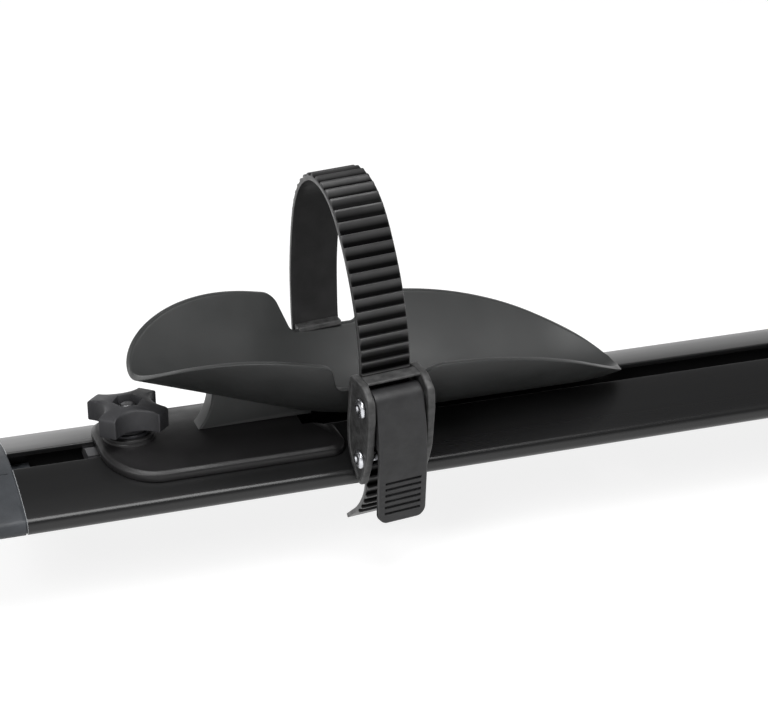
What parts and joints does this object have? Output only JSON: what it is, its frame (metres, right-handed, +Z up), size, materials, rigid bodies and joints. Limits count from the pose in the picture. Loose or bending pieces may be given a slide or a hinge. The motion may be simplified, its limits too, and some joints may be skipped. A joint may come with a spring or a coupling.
{
  "type": "bike carrier",
  "caption": "Roof bike carrier: slotted rail with end caps and sliding wheel cradles, each with a clamp knob and a toothed ratchet strap.",
  "frame": {"origin": "middle of the rail's underside, on the line of its two mounting holes", "axes": "+X along the rail, +Y to the side away from the buckles, +Z up"},
  "size_m": [1.456, 0.134, 0.191],
  "materials": {
    "rail_metal": "black anodised, satin",
    "cap_plastic": "fine grain",
    "moulded_plastic": "satin moulded",
    "knob_plastic": "fine grain",
    "buckle_plastic": "glass-filled nylon",
    "strap_plastic": "soft gloss",
    "bar_metal": "extruded, satin",
    "dark_washer": "black oxide",
    "pawl_metal": "plain",
    "zinc": "bright zinc"
  },
  "bodies": {
    "rail": {"rail": "rail_metal", "left_end_cap": "cap_plastic", "right_end_cap": "cap_plastic"},
    "left_holder": {"left_cradle": "moulded_plastic", "left_base_plate": "moulded_plastic", "left_cradle_screws": "zinc", "left_knob_washer": "dark_washer", "left_strap": "strap_plastic", "left_strap_hook": "buckle_plastic", "left_strap_rivets": "zinc", "left_buckle_frame": "buckle_plastic", "left_lever_pin": "zinc", "left_hold_pawl_pin": "zinc", "left_hold_pawl_spring": "pawl_metal"},
    "left_clamp": {"left_slide_bar": "bar_metal", "left_clamp_bolt": "zinc"},
    "left_hand_knob": {"left_knob": "knob_plastic", "left_knob_nut": "zinc"},
    "left_ratchet_lever": {"left_lever": "buckle_plastic", "left_drive_pawl_pin": "zinc", "left_drive_pawl_spring": "pawl_metal"},
    "left_lever_pawl": {"left_drive_pawl": "pawl_metal"},
    "left_frame_pawl": {"left_hold_pawl": "pawl_metal"},
    "right_holder": {"right_cradle": "moulded_plastic", "right_base_plate": "moulded_plastic", "right_cradle_screws": "zinc", "right_knob_washer": "dark_washer", "right_strap": "strap_plastic", "right_strap_hook": "buckle_plastic", "right_strap_rivets": "zinc", "right_buckle_frame": "buckle_plastic", "right_lever_pin": "zinc", "right_hold_pawl_pin": "zinc", "right_hold_pawl_spring": "pawl_metal"},
    "right_clamp": {"right_slide_bar": "bar_metal", "right_clamp_bolt": "zinc"},
    "right_hand_knob": {"right_knob": "knob_plastic", "right_knob_nut": "zinc"},
    "right_ratchet_lever": {"right_lever": "buckle_plastic", "right_drive_pawl_pin": "zinc", "right_drive_pawl_spring": "pawl_metal"},
    "right_lever_pawl": {"right_drive_pawl": "pawl_metal"},
    "right_frame_pawl": {"right_hold_pawl": "pawl_metal"}
  },
  "joints": [
    {"name": "left_holder_slide", "type": "slide", "parent": "rail", "child": "left_holder", "axis": [1, 0, 0], "range_m": [-0.025, 0.15]},
    {"name": "left_knob_turn", "type": "hinge", "parent": "left_holder", "child": "left_hand_knob", "pos_m": [-0.637, 0, 0.035], "axis": [0, 0, 1], "range_deg": [0, 720]},
    {"name": "left_clamp_drop", "type": "slide", "parent": "left_holder", "child": "left_clamp", "axis": [0, 0, -1], "range_m": [0, 0.0025]},
    {"name": "left_lever_swing", "type": "hinge", "parent": "left_holder", "child": "left_ratchet_lever", "pos_m": [-0.51331, -0.0669, 0.0535], "axis": [-0.9973, -0.0523, -0.0523], "range_deg": [0, 110]},
    {"name": "left_lever_pawl_turn", "type": "hinge", "parent": "left_ratchet_lever", "child": "left_lever_pawl", "pos_m": [-0.51242, -0.06845, 0.03803], "axis": [-0.9973, -0.0523, -0.0523], "range_deg": [0, 10]},
    {"name": "left_frame_pawl_turn", "type": "hinge", "parent": "left_holder", "child": "left_frame_pawl", "pos_m": [-0.512, -0.06032, 0.02205], "axis": [0.9973, 0.0523, 0.0523], "range_deg": [0, 15]},
    {"name": "right_holder_slide", "type": "slide", "parent": "rail", "child": "right_holder", "axis": [-1, 0, 0], "range_m": [-0.025, 0.15]},
    {"name": "right_knob_turn", "type": "hinge", "parent": "right_holder", "child": "right_hand_knob", "pos_m": [0.637, 0, 0.035], "axis": [0, 0, 1], "range_deg": [0, 720]},
    {"name": "right_clamp_drop", "type": "slide", "parent": "right_holder", "child": "right_clamp", "axis": [0, 0, -1], "range_m": [0, 0.0025]},
    {"name": "right_lever_swing", "type": "hinge", "parent": "right_holder", "child": "right_ratchet_lever", "pos_m": [0.52069, -0.0669, 0.0535], "axis": [-0.9973, -0.0523, -0.0523], "range_deg": [0, 110]},
    {"name": "right_lever_pawl_turn", "type": "hinge", "parent": "right_ratchet_lever", "child": "right_lever_pawl", "pos_m": [0.52158, -0.06845, 0.03803], "axis": [-0.9973, -0.0523, -0.0523], "range_deg": [0, 10]},
    {"name": "right_frame_pawl_turn", "type": "hinge", "parent": "right_holder", "child": "right_frame_pawl", "pos_m": [0.522, -0.06032, 0.02205], "axis": [0.9973, 0.0523, 0.0523], "range_deg": [0, 15]}
  ],
  "couplings": [
    {"joint": "left_knob_turn", "follows": "left_clamp_drop", "rad_per_m": 5026},
    {"joint": "right_knob_turn", "follows": "right_clamp_drop", "rad_per_m": 5026}
  ]
}
